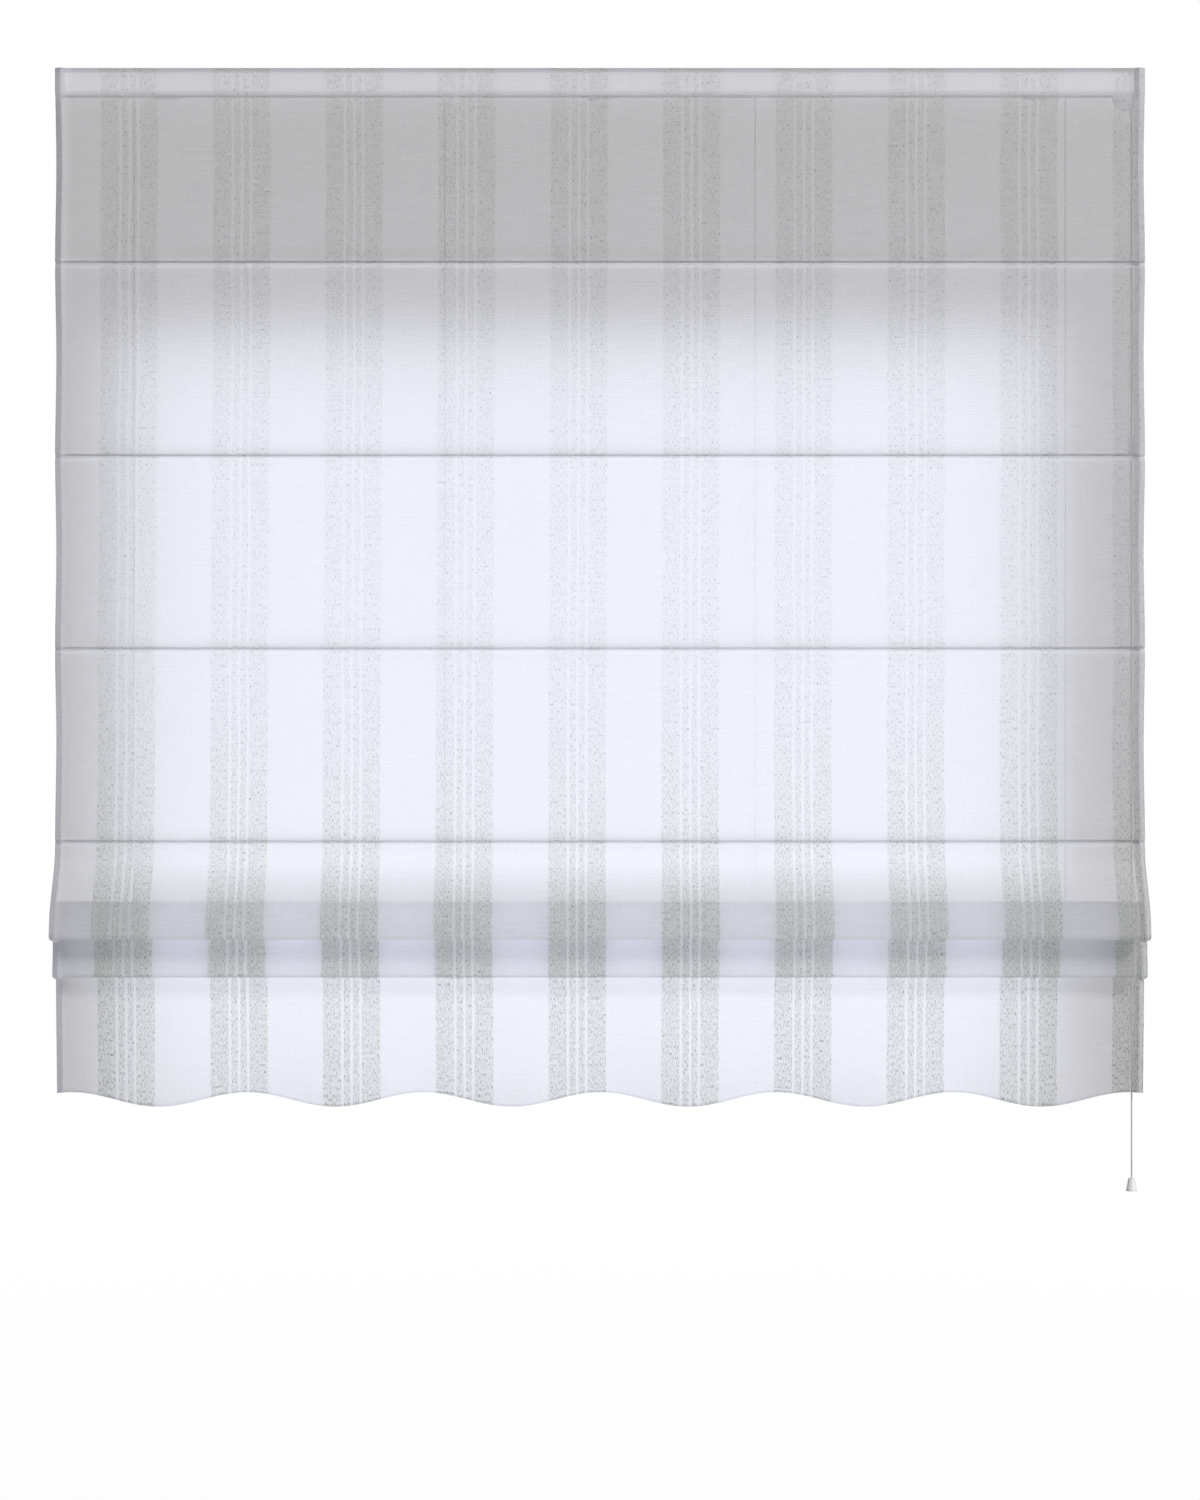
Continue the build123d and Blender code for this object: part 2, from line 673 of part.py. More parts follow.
front_side, back_side = -1, 1
stripe_profile = band_profile(stripe_ridge, front_side, fold_fronts)
hem_profile = band_profile(side_hem_rise, back_side, [])
right_hem_start = half_width - side_hem_width
stripe_count = ceil((right_hem_start + half_width - stripe_start) / stripe_pitch)
stripe_starts = [stripe_start + stripe_pitch * n - half_width for n in range(stripe_count)]
wave_half = wave_pitch / 2
side_wave_count = ceil(half_width / wave_half)
with BuildPart() as cloth:
    extrude(sheet_profile.sketch, amount=half_width, both=True)
    for start in stripe_starts:
        with BuildSketch(Plane.YZ.offset(start)):
            add(stripe_profile)
        extrude(amount=min(stripe_width, right_hem_start - start))
    for start in (-half_width, right_hem_start):
        with BuildSketch(Plane.YZ.offset(start)):
            add(hem_profile)
        extrude(amount=side_hem_width)
    with BuildSketch(Plane.XZ.offset(-tuck_y)):
        with BuildLine():
            for turn in range(-side_wave_count, side_wave_count + 1):
                middle = turn * wave_half
                rise = wave_height / 2 if turn % 2 == 0 else -wave_height / 2
                SagittaArc((middle - wave_half / 2, hem_z), (middle + wave_half / 2, hem_z), rise)
            right_end = (side_wave_count + 1 / 2) * wave_half
            Polyline(
                (right_end, hem_z),
                (right_end, hem_low - 2 * overrun),
                (-right_end, hem_low - 2 * overrun),
                (-right_end, hem_z),
            )
        make_face()
    extrude(amount=overrun, both=True, mode=Mode.SUBTRACT)
cloth.part.label = "cloth"
export_step(cloth.part, "parts/cloth.step")

print("cloth length along the folds", round(sheet_line.wires()[0].length))
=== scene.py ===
import json
from math import cos, pi, radians, sin, tan

import bmesh
import bpy
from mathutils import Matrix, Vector, noise


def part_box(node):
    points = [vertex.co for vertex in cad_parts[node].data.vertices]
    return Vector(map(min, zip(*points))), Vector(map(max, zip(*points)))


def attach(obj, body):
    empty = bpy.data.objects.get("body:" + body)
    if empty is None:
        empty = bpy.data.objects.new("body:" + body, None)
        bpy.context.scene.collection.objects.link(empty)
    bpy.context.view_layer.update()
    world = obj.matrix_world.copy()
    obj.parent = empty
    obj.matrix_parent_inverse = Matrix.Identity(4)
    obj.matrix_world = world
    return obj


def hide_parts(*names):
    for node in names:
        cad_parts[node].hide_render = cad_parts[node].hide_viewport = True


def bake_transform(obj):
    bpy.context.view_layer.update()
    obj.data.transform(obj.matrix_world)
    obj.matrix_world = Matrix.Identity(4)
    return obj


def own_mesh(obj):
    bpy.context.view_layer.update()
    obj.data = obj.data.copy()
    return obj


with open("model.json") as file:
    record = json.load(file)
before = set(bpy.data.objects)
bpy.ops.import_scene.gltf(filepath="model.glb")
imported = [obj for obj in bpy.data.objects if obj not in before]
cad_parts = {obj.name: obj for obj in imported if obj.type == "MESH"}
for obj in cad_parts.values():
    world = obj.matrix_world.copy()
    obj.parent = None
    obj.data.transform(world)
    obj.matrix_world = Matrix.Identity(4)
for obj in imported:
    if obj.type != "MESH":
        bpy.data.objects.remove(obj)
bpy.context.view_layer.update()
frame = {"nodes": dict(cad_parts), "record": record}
nodes = frame["nodes"]

# A sheer striped roman blind. Metres, in the frame of the solids: +X right, +Y to the wall, +Z up.

# Picture: the photograph's height and the row of the cloth's top edge in pixels, the scale, and the camera
PICTURE_HEIGHT = 1500
METRES_PER_PIXEL = 0.0012844
CLOTH_TOP_ROW = 68
CAMERA_DISTANCE = 5.0
SENSOR = 36.0

# Cloth
CLOTH_THICKNESS = 0.0005
TUCK_DEPTH = 0.003
CREASE_BULGE = 0.0007
CREASE_BULGE_HEIGHT = 0.0026
CREASE_START_HEIGHT = 0.0065
CREASE_FOOT = 0.006
CREASE_ROUND = 0.0011
CREASE_FOOT_ROUND = 0.008
EDGE_PULL_SHARE = 0.0024
SLACK = 0.0016
SLACK_GRAIN = 0.17
COLUMN_STEP = 0.007
ROW_STEP = 0.007
FOLD_ROW_STEP = ROW_STEP / 2
ARC_PARTS = 7
PANEL_COUNT = 4

# Hems: the sides are turned to the back and stand up in a slight ridge
SIDE_HEM = 0.009
HEM_LAYER_GAP = 0.0007
HEM_CREST = 0.008
HEM_RIDGE_FOOT = 0.007
HEM_RIDGE_HEIGHT = 0.0045
HEM_PARTS = 5
BOTTOM_HEM = 0.003
BOTTOM_HEM_ROUND = HEM_LAYER_GAP / 3
TOP_TURN = 0.005
TOP_TURN_GAP = 0.0004

# Folds, with the points of their fronts as shares of depth and drop
FOLD_1_DEPTH = 0.060
FOLD_1_DROP = 0.123
FOLD_1_BOTTOM_ROUND = 0.006
FOLD_1_FRONT_SHARES = ((0.03, 0.19), (0.86, 0.72))
FOLD_2_DEPTH = 0.026
FOLD_2_DROP = 0.093
FOLD_2_BOTTOM_ROUND = 0.004
FOLD_2_FRONT_SHARES = ((0.75, 0.45),)
FOLD_SWAY_ROUND = 0.050
FOLD_CREASE_ROUND = 0.0006
FOLD_TUCK_HALF = 0.0035

# Wavy hem
WAVE_PITCH = 0.2273
WAVE_HEIGHT = 0.018
WAVE_SWING = 0.004
WAVE_LIFT_POWER = 3
WAVE_SWING_POWER = 2
VALANCE_PULL_SHARE = 0.0024

# Woven stripes, painted fainter in the upper cloth to stand in for the bright back light washing them out:
# where each yarn starts, as a share of the stripe's width
STRIPE_PITCH = 0.1446
STRIPE_WIDTH = 0.0765
STRIPE_START = 0.0565
STRIPE_LEAN = 0.005
STRIPE_LEAN_SPAN = (0.3, 0.9)
# Painted light: the stripes and flecks are painted washed out above the first of these lengths down the
# cloth, and full below the second
STRIPE_WASHOUT_SPAN = (0.75, 1.15)
WASHED_OUT_STRIPE_SHARE = 0.2
WASHED_OUT_FLECK_FLOOR = 0.6
LOWER_FLECK_FLOOR = 0.53
FLECK_SPAN = 0.1
STRIPE_YARN_SHARES = (
    (0.0, "line"),
    (0.018, "slub"),
    (0.32, "line"),
    (0.365, "slub"),
    (0.475, "line"),
    (0.52, "slub"),
    (0.625, "line"),
    (0.67, "slub"),
    (0.982, "line"),
    (1.0, "plain"),
)

# The weave: sizes of a yarn, a slub and a streak, how open each leaves the cloth, how it takes the light
WEFT_HEIGHT = 0.0016
WEFT_LENGTH = 0.045
SLUB_WIDTH = 0.001
SLUB_LENGTH = 0.0045
STREAK_WIDTH = 0.0022
STREAK_LENGTH = 0.12
WEAVE_RELIEF = 0.0006
PLAIN_OPEN_SHARE = 0.20
SLUB_OPEN_SHARE = 0.165
LINE_OPEN_SHARE = 0.205
WEAVE_OPEN_SHARE = 0.1
THROUGH_SHARE = 0.66
FLECK_SHARE = 0.7
STREAK_SHARE = 0.5
WARP_SHARE = 0.5
NOISE_MIDDLE = 0.5
STREAK_NOISE_SPAN = (0.35, 0.65)
WEAVE_DETAIL = 1.0
FLECK_DETAIL = 3.0
WEAVE_BUMP_SHARE = 0.35
CLOTH_ROUGHNESS = 0.85
CLOTH_SPECULAR = 0.15
CLOTH_SHEEN = 0.08

# Stitches along the side hems and the tape
STITCH_PITCH = 0.0042
STITCH_LENGTH = 0.0029
STITCH_WIDTH = 0.0006
STITCH_INSET = 0.0015

# Staves, casings, rings and beads
CASING_RADIUS = 0.0027
CASING_INSET = 0.004
STAVE_RADIUS = 0.002
TIP_RADIUS = 0.0024
TIP_LENGTH = 0.008
TIP_ROUND = 0.0011
TIP_ROUND_STEP = TIP_ROUND / 3
RING_RADIUS = 0.006
RING_WIRE_RADIUS = 0.001
THREAD_RADIUS = 0.00022
THREAD_LOOP_RADIUS = 0.0021
BEAD_RADIUS = 0.0061
BEAD_ROUND_SHARE = 0.45
BEAD_HOLE_SHARE = 1 / 3

# Joiner and bell: outlines as shares of their radius and of their height from the top
PULL_HOLE_RADIUS = 0.0011
JOINER_MOUTH_RADIUS = 0.0042
JOINER_HOLE_DEPTH = 0.006
JOINER_CORD_DEPTH = 0.005
JOINER_SHARES = (
    (0.85, 0.0),
    (0.94, 0.04),
    (0.99, 0.21),
    (0.99, 0.54),
    (0.90, 0.82),
    (0.78, 0.96),
    (0.59, 1.0),
)
BELL_ROOF = 0.0025
BELL_SHARES = (
    (0.50, 0.0),
    (0.575, 0.016),
    (0.615, 0.05),
    (0.935, 0.84),
    (0.985, 0.865),
    (1.0, 0.89),
    (1.0, 0.97),
    (0.975, 1.0),
    (0.84, 1.0),
)
BELL_INNER_TOP_SHARE = 0.51

# Cords
CORD_RADIUS = 0.0006
LANE_PITCH = 0.0022
CORD_COUNT = 4
CORD_BEND = 0.0059
PULL_CORD_RADIUS = 0.001
PULL_CORD_LEAD = 0.012
KNOT_HEIGHT = 0.004
KNOT_LOOP_RADIUS = 0.0013
KNOT_SPLIT = 0.0007
KNOT_LEAN_SHARE = 0.35
BRAID_PITCH = 0.0018
BRAID_RELIEF = 0.0002
BRAID_BUMP_SHARE = 0.6
# Painted shade in the braid's grooves, as a share of the cord's colour
BRAID_GROOVE_SHADE_SHARE = 0.88
BRAID_ROUGHNESS = 0.8

# How finely round pieces are cut, and the turn from which an edge is sharp
ROUND_PARTS = 28
WIRE_PARTS = 10
CORD_PARTS = 8
BEVEL_PARTS = 3
THREAD_LOOP_PARTS = 16
THREAD_PARTS = 6
SHARP_TURN = radians(50)

# Colours, as linear light
PLAIN_YARN = (0.948, 0.949, 0.978)
SLUB_YARN = (0.86, 0.872, 0.835)
FLECK_YARN = (0.33, 0.345, 0.33)
LINE_YARN = (0.953, 0.955, 0.975)
THREAD_YARN = (0.88, 0.885, 0.9)
TAPE_YARN = (0.95, 0.95, 0.955)
CORD_YARN = (0.66, 0.66, 0.66)
WHITE_PAINT = (0.88, 0.88, 0.885)
WHITE_PLASTIC = (0.90, 0.902, 0.905)
BELL_PLASTIC = (0.95, 0.95, 0.95)
ROLLER_PLASTIC = (0.60, 0.61, 0.62)
GLASS_FIBRE = (0.70, 0.71, 0.69)
ZINC = (0.56, 0.57, 0.58)
FLOOR_COLOUR = (0.85, 0.85, 0.86)

# Finishes of the solids: colour, roughness, size of the mottling and height of its relief
FINISHES = {
    "powder_coat": {"colour": WHITE_PAINT, "roughness": 0.42, "grain": 0.0012, "relief": 0.00005},
    "white_plastic": {"colour": WHITE_PLASTIC, "roughness": 0.38, "grain": 0.003, "relief": 0.00004},
    "gloss_plastic": {"colour": WHITE_PLASTIC, "roughness": 0.2, "grain": 0.006, "relief": 0.00003},
    "satin_plastic": {"colour": BELL_PLASTIC, "roughness": 0.55, "grain": 0.006, "relief": 0.00002},
    "roller_plastic": {"colour": ROLLER_PLASTIC, "roughness": 0.3, "grain": 0.002, "relief": 0.00003},
    "glass_fibre": {
        "colour": GLASS_FIBRE,
        "roughness": 0.35,
        "grain": 0.0006,
        "relief": 0.00004,
        "stretch": (0.02, 1.0, 1.0),
    },
    "zinc_plate": {"colour": ZINC, "roughness": 0.34, "grain": 0.004, "relief": 0.00003, "metallic": 1.0},
    "tape_pile": {"colour": TAPE_YARN, "roughness": 0.9, "grain": 0.0008, "relief": 0.0005},
    "sewing_thread": {"colour": THREAD_YARN, "roughness": 0.8, "grain": 0.0005, "relief": 0.0001},
}
MOTTLE_DETAIL = 3.0
MOTTLE_SPAN = (0.3, 0.7)
MOTTLE_DARK_SHARE = 0.93
MOTTLE_ROUGHNESS_SHARES = (0.85, 1.1)
MOTTLE_BUMP_SHARE = 0.4

# Stage: a floor below the bell that turns from nearly white to white as it goes away, and the lamps
FLOOR_Z = -2.1
FLOOR_SIZE = 40.0
FLOOR_NEAR = 1.2
FLOOR_FAR = 5.0
FLOOR_WHITE_SHARE = 0.97
FLOOR_ROUGHNESS = 0.9
FILL = 0.06
AIM = (0, 0, -0.7)
FRONT_LAMP = {"place": (-1.8, -3.3, -0.4), "size": (4.0, 4.0), "watts": 15}
KEY_LAMP = {"place": (12.0, -12.0, 9.9), "size": (5.0, 5.0), "watts": 2750}
BACK_LAMP = {
    "place": (-0.022, 0.035, -0.835),
    "size": (1.21, 1.03),
    "watts": 3.75,
    "colour": (0.82, 0.855, 1.0),
}

# Places read from the solids
cloth_low, cloth_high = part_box("cloth")
rail_low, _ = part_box("headrail")
tape_low, tape_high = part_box("loop_tape")
half_width = cloth_high.x
cloth_top = cloth_high.z
cloth_y = tape_low.y - CLOTH_THICKNESS / 2
tuck_y = cloth_y + TUCK_DEPTH
hem_z = cloth_low.z + WAVE_HEIGHT / 2


def middle(node):
    """The middle of a solid's box."""
    low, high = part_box(node)
    return (low + high) / 2


STAVE_BODIES = ("stave_1", "stave_2", "stave_3", "stave_4", "bottom_staves", "bottom_staves")
stave_z = [middle(f"stave_{n}").z for n in range(1, len(STAVE_BODIES) + 1)]
fold_1_top, fold_2_top, valance_top = stave_z[PANEL_COUNT - 1:]
stave_y = middle("stave_1").y
lane_y = middle("rings_1").y
cord_x = [middle(f"guide_roller_{n}").x - CORD_BEND for n in range(1, CORD_COUNT + 1)]
X_AXIS, Y_AXIS, Z_AXIS = Vector((1, 0, 0)), Vector((0, 1, 0)), Vector((0, 0, 1))


# Materials
class Paint:
    """A node material, or the world's nodes, under construction."""

    def __init__(self, name, kept_in=bpy.data.materials):
        self.material = kept_in.new(name)
        self.material.use_nodes = True
        self.tree = self.material.node_tree
        self.surface = self.tree.nodes.get("Principled BSDF") or self.tree.nodes["Background"]
        self.output = self.tree.nodes.get("Material Output")

    def node(self, kind, **settings):
        made = self.tree.nodes.new(kind)
        for key, value in settings.items():
            setattr(made, key, value)
        return made

    def link(self, source, target):
        self.tree.links.new(source, target)

    def fill(self, sockets, values):
        """Sets each socket to a number or links it."""
        for socket, value in zip(sockets, values):
            if isinstance(value, (int, float)):
                socket.default_value = value
            else:
                self.link(value, socket)

    def math(self, operation, first, second=0.0):
        made = self.node("ShaderNodeMath", operation=operation)
        self.fill(made.inputs, (first, second))
        return made.outputs[0]

    def vector(self, x, y, z=0.0):
        made = self.node("ShaderNodeCombineXYZ")
        self.fill(made.inputs, (x, y, z))
        return made.outputs[0]

    def split(self, vector):
        made = self.node("ShaderNodeSeparateXYZ")
        self.link(vector, made.inputs[0])
        return made.outputs

    def noise(self, vector, detail, dimensions="3D"):
        made = self.node("ShaderNodeTexNoise", noise_dimensions=dimensions)
        made.inputs["Scale"].default_value = 1.0
        made.inputs["Detail"].default_value = detail
        self.link(vector, made.inputs["Vector"])
        return made.outputs["Fac"]

    def stretch(self, value, low, high, to_low=0.0, to_high=1.0):
        """The value carried from one span to another, held at the ends."""
        made = self.node("ShaderNodeMapRange")
        self.fill(made.inputs, (value, low, high, to_low, to_high))
        return made.outputs[0]

    def mix(self, share, first, second):
        """Two colours mixed by a share."""
        made = self.node("ShaderNodeMix", data_type="RGBA")
        self.link(share, made.inputs["Factor"])
        for name, value in (("A", first), ("B", second)):
            socket = next(s for s in made.inputs if s.name == name and s.type == "RGBA")
            if isinstance(value, tuple):
                socket.default_value = (*value, 1.0)
            else:
                self.link(value, socket)
        return next(s for s in made.outputs if s.type == "RGBA")

    def mix_shaders(self, share, first, second):
        made = self.node("ShaderNodeMixShader")
        self.fill(made.inputs, (share, first, second))
        return made.outputs[0]

    def bump(self, height, strength, distance):
        made = self.node("ShaderNodeBump")
        made.inputs["Strength"].default_value = strength
        made.inputs["Distance"].default_value = distance
        self.link(height, made.inputs["Height"])
        return made.outputs["Normal"]

    def places(self):
        """The piece's own coordinates, in metres."""
        return self.node("ShaderNodeTexCoord").outputs["Object"]


CLOTH_MAP = "cloth_map"
YARN_MASKS = {"plain": (0, 0, 0, 1), "slub": (1, 0, 0, 1), "line": (0, 1, 0, 1)}
top_turn_length = TOP_TURN + TOP_TURN_GAP
tape_stitch_z = (tape_high.z - STITCH_INSET, tape_low.z + STITCH_INSET)
tape_rows = [top_turn_length + cloth_top - z for z in tape_stitch_z]


def cloth_material():
    """Sheer weave on a map of the flat cloth: across the width, and along it from the top edge."""
    paint = Paint("sheer_cloth")
    across, along, _ = paint.split(paint.node("ShaderNodeUVMap", uv_map=CLOTH_MAP).outputs["UV"])

    lean_share = paint.stretch(across, -half_width, half_width, STRIPE_LEAN, 0.0)
    lean = paint.math("MULTIPLY", paint.stretch(along, *STRIPE_LEAN_SPAN), lean_share)
    from_first = paint.math("SUBTRACT", paint.math("ADD", across, lean), STRIPE_START - half_width)
    phase = paint.math("FRACT", paint.math("DIVIDE", from_first, STRIPE_PITCH))
    ramp = paint.node("ShaderNodeValToRGB")
    ramp.color_ramp.interpolation = "CONSTANT"
    stripe_share = STRIPE_WIDTH / STRIPE_PITCH
    stops = ramp.color_ramp.elements
    stops.remove(stops[-1])
    for place, (start, yarn) in enumerate(STRIPE_YARN_SHARES):
        stop = stops[0] if place == 0 else stops.new(start * stripe_share)
        stop.position = start * stripe_share
        stop.color = YARN_MASKS[yarn]
    paint.link(phase, ramp.inputs["Fac"])
    masks = paint.node("ShaderNodeSeparateColor")
    paint.link(ramp.outputs["Color"], masks.inputs[0])
    # Painted light: the stripes are painted fainter in the upper cloth, as if washed out by the back light
    strength = paint.stretch(along, *STRIPE_WASHOUT_SPAN, WASHED_OUT_STRIPE_SHARE, 1.0)
    slub, line = masks.outputs[0], masks.outputs[1]

    def grain(width, height, detail):
        cell = paint.vector(paint.math("DIVIDE", across, width), paint.math("DIVIDE", along, height))
        return paint.noise(cell, detail, "2D")

    def dashes(value):
        turn = paint.math("FRACT", paint.math("DIVIDE", value, STITCH_PITCH))
        return paint.math("LESS_THAN", turn, STITCH_LENGTH / STITCH_PITCH)

    def near(value, place):
        away = paint.math("ABSOLUTE", paint.math("SUBTRACT", value, place))
        return paint.math("LESS_THAN", away, STITCH_WIDTH / 2)

    weft = grain(WEFT_LENGTH, WEFT_HEIGHT, WEAVE_DETAIL)
    warp = grain(WEFT_HEIGHT, WEFT_LENGTH, WEAVE_DETAIL)
    threads = paint.math("ADD", weft, paint.math("MULTIPLY", warp, WARP_SHARE))
    weave = paint.math("SUBTRACT", threads, NOISE_MIDDLE * (1 + WARP_SHARE))
    streak = paint.stretch(grain(STREAK_WIDTH, STREAK_LENGTH, WEAVE_DETAIL), *STREAK_NOISE_SPAN)
    # Painted light: the flecks are also painted fainter in the upper cloth, as if washed out by the back
    # light
    washout_fleck_floor = paint.stretch(along, *STRIPE_WASHOUT_SPAN, WASHED_OUT_FLECK_FLOOR, LOWER_FLECK_FLOOR)
    fleck_height = paint.math("SUBTRACT", grain(SLUB_WIDTH, SLUB_LENGTH, FLECK_DETAIL), washout_fleck_floor)
    fleck = paint.math("MULTIPLY", paint.stretch(fleck_height, 0.0, FLECK_SPAN), slub)
    hem_row = half_width - SIDE_HEM + STITCH_INSET
    stitch = paint.math("MULTIPLY", near(paint.math("ABSOLUTE", across), hem_row), dashes(along))
    for row in tape_rows:
        stitch = paint.math("MAXIMUM", stitch, paint.math("MULTIPLY", near(along, row), dashes(across)))

    streaked = paint.mix(paint.math("MULTIPLY", streak, STREAK_SHARE), SLUB_YARN, PLAIN_YARN)
    colour = paint.mix(paint.math("MULTIPLY", slub, strength), PLAIN_YARN, streaked)
    colour = paint.mix(paint.math("MULTIPLY", fleck, FLECK_SHARE), colour, FLECK_YARN)
    colour = paint.mix(line, colour, LINE_YARN)
    colour = paint.mix(stitch, colour, THREAD_YARN)

    open_share = paint.math("ADD", paint.math("MULTIPLY", weave, WEAVE_OPEN_SHARE), PLAIN_OPEN_SHARE)
    for mask, less in (
        (slub, PLAIN_OPEN_SHARE - SLUB_OPEN_SHARE),
        (line, PLAIN_OPEN_SHARE - LINE_OPEN_SHARE),
        (fleck, SLUB_OPEN_SHARE),
        (stitch, PLAIN_OPEN_SHARE),
    ):
        open_share = paint.math("SUBTRACT", open_share, paint.math("MULTIPLY", mask, less))
    open_share = paint.math("MAXIMUM", open_share, 0.0)

    normal = paint.bump(weave, WEAVE_BUMP_SHARE, WEAVE_RELIEF)
    surface = paint.surface
    surface.inputs["Roughness"].default_value = CLOTH_ROUGHNESS
    surface.inputs["Specular IOR Level"].default_value = CLOTH_SPECULAR
    surface.inputs["Sheen Weight"].default_value = CLOTH_SHEEN
    through = paint.node("ShaderNodeBsdfTranslucent")
    for shader, socket in ((surface, "Base Color"), (through, "Color")):
        paint.link(colour, shader.inputs[socket])
        paint.link(normal, shader.inputs["Normal"])
    body = paint.mix_shaders(THROUGH_SHARE, surface.outputs[0], through.outputs[0])
    clear = paint.node("ShaderNodeBsdfTransparent").outputs[0]
    paint.link(paint.mix_shaders(open_share, body, clear), paint.output.inputs["Surface"])
    return paint.material


def solid_material(name, colour, roughness, grain, relief, metallic=0.0, stretch=(1.0, 1.0, 1.0)):
    """A moulded, coated or drawn surface: slight mottling of the colour, gloss and height."""
    paint = Paint(name)
    spread = paint.node("ShaderNodeVectorMath", operation="MULTIPLY")
    paint.link(paint.places(), spread.inputs[0])
    spread.inputs[1].default_value = [share / grain for share in stretch]
    mottle = paint.noise(spread.outputs[0], MOTTLE_DETAIL)
    darker = tuple(MOTTLE_DARK_SHARE * channel for channel in colour)
    paint.link(paint.mix(mottle, darker, colour), paint.surface.inputs["Base Color"])
    rough_span = [share * roughness for share in MOTTLE_ROUGHNESS_SHARES]
    rough = paint.stretch(mottle, *MOTTLE_SPAN, *rough_span)
    paint.link(rough, paint.surface.inputs["Roughness"])
    paint.link(paint.bump(mottle, MOTTLE_BUMP_SHARE, relief), paint.surface.inputs["Normal"])
    paint.surface.inputs["Metallic"].default_value = metallic
    return paint.material


def braid_material(name, colour):
    """Braided cord: strands that cross on the slant, along the cord, with painted shade in the grooves
    between them.
    """
    paint = Paint(name)
    x, y, z = paint.split(paint.places())
    round_share = paint.math("ADD", x, y)
    strands = []
    for turn in (-1, 1):
        slant = paint.math("ADD", z, paint.math("MULTIPLY", round_share, turn))
        strands.append(paint.math("SINE", paint.math("MULTIPLY", slant, 2 * pi / BRAID_PITCH)))
    weave = paint.math("MAXIMUM", *strands)
    # Painted shade: the cord's colour is darker in the grooves between the strands
    darker = tuple(BRAID_GROOVE_SHADE_SHARE * channel for channel in colour)
    shade = paint.mix(paint.stretch(weave, -1.0, 1.0), darker, colour)
    paint.link(shade, paint.surface.inputs["Base Color"])
    paint.surface.inputs["Roughness"].default_value = BRAID_ROUGHNESS
    paint.link(paint.bump(weave, BRAID_BUMP_SHARE, BRAID_RELIEF), paint.surface.inputs["Normal"])
    return paint.material


cloth_paint = cloth_material()
solid_paints = {name: solid_material(name, **finish) for name, finish in FINISHES.items()}
gloss_paint = solid_paints["gloss_plastic"]
cord_paint = braid_material("braided_cord", CORD_YARN)


# Pieces
def piece(name, data, paint, body=None, node=None):
    """An object with its paint, on a body and in place of a solid."""
    made = bpy.data.objects.new(name, data)
    bpy.context.scene.collection.objects.link(made)
    data.materials.append(paint)
    if node:
        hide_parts(node)
    if body:
        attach(made, body)
    return made


def mesh_piece(name, build, paint, body=None, node=None):
    """A piece from a bmesh, smooth but for its sharp edges."""
    for face in build.faces:
        face.smooth = True
    data = bpy.data.meshes.new(name)
    build.to_mesh(data)
    build.free()
    data.set_sharp_from_angle(angle=SHARP_TURN)
    return piece(name, data, paint, body, node)


# Cloth
def rounded_path(points, rounds, row_step=ROW_STEP):
    """Points in (y, z) along a line whose inner corners are rounded, close together in the rounds."""
    corners = [Vector(point) for point in points]
    line = [corners[0]]

    def run_to(end):
        start = line[-1]
        parts = max(1, round((end - start).length / row_step))
        for part in range(1, parts + 1):
            line.append(start.lerp(end, part / parts))

    for before, corner, after, radius in zip(corners, corners[1:], corners[2:], rounds):
        back, on = (before - corner).normalized(), (after - corner).normalized()
        half_angle = back.angle(on) / 2
        reach = radius / tan(half_angle)
        start, end = corner + back * reach, corner + on * reach
        run_to(start)
        hub = corner + (back + on).normalized() * (radius / sin(half_angle))
        for part in range(1, ARC_PARTS + 1):
            arm = (start - hub).slerp(end - hub, part / ARC_PARTS).normalized()
            line.append(hub + arm * radius)
    run_to(corners[-1])
    return line


def cross_section():
    """The sheet's cross section as (x, offset to the back): a ridge and the turned hem at each edge."""
    crest = half_width - HEM_CREST
    foot = crest - HEM_RIDGE_FOOT

    def ridge(x):
        share = (half_width - x) / HEM_CREST if x > crest else (x - foot) / HEM_RIDGE_FOOT
        return -HEM_RIDGE_HEIGHT * max(0.0, share)

    def steps(start, end):
        return [start + (end - start) * part / HEM_PARTS for part in range(HEM_PARTS)]

    hem_end = half_width - SIDE_HEM
    back = [(x, ridge(x) + HEM_LAYER_GAP) for x in steps(hem_end, half_width)]
    edge = [(half_width, HEM_LAYER_GAP / 2)]
    front = [(x, ridge(x)) for x in [*steps(half_width, crest)[1:], *steps(crest, foot), foot]]
    side = [*back, *edge, *front]
    inner_parts = round(2 * foot / COLUMN_STEP)
    inner = [(foot - 2 * foot * part / inner_parts, 0.0) for part in range(1, inner_parts)]
    mirrored = [(-x, offset) for x, offset in reversed(side)]
    return [*side, *inner, *mirrored]


SECTION = cross_section()


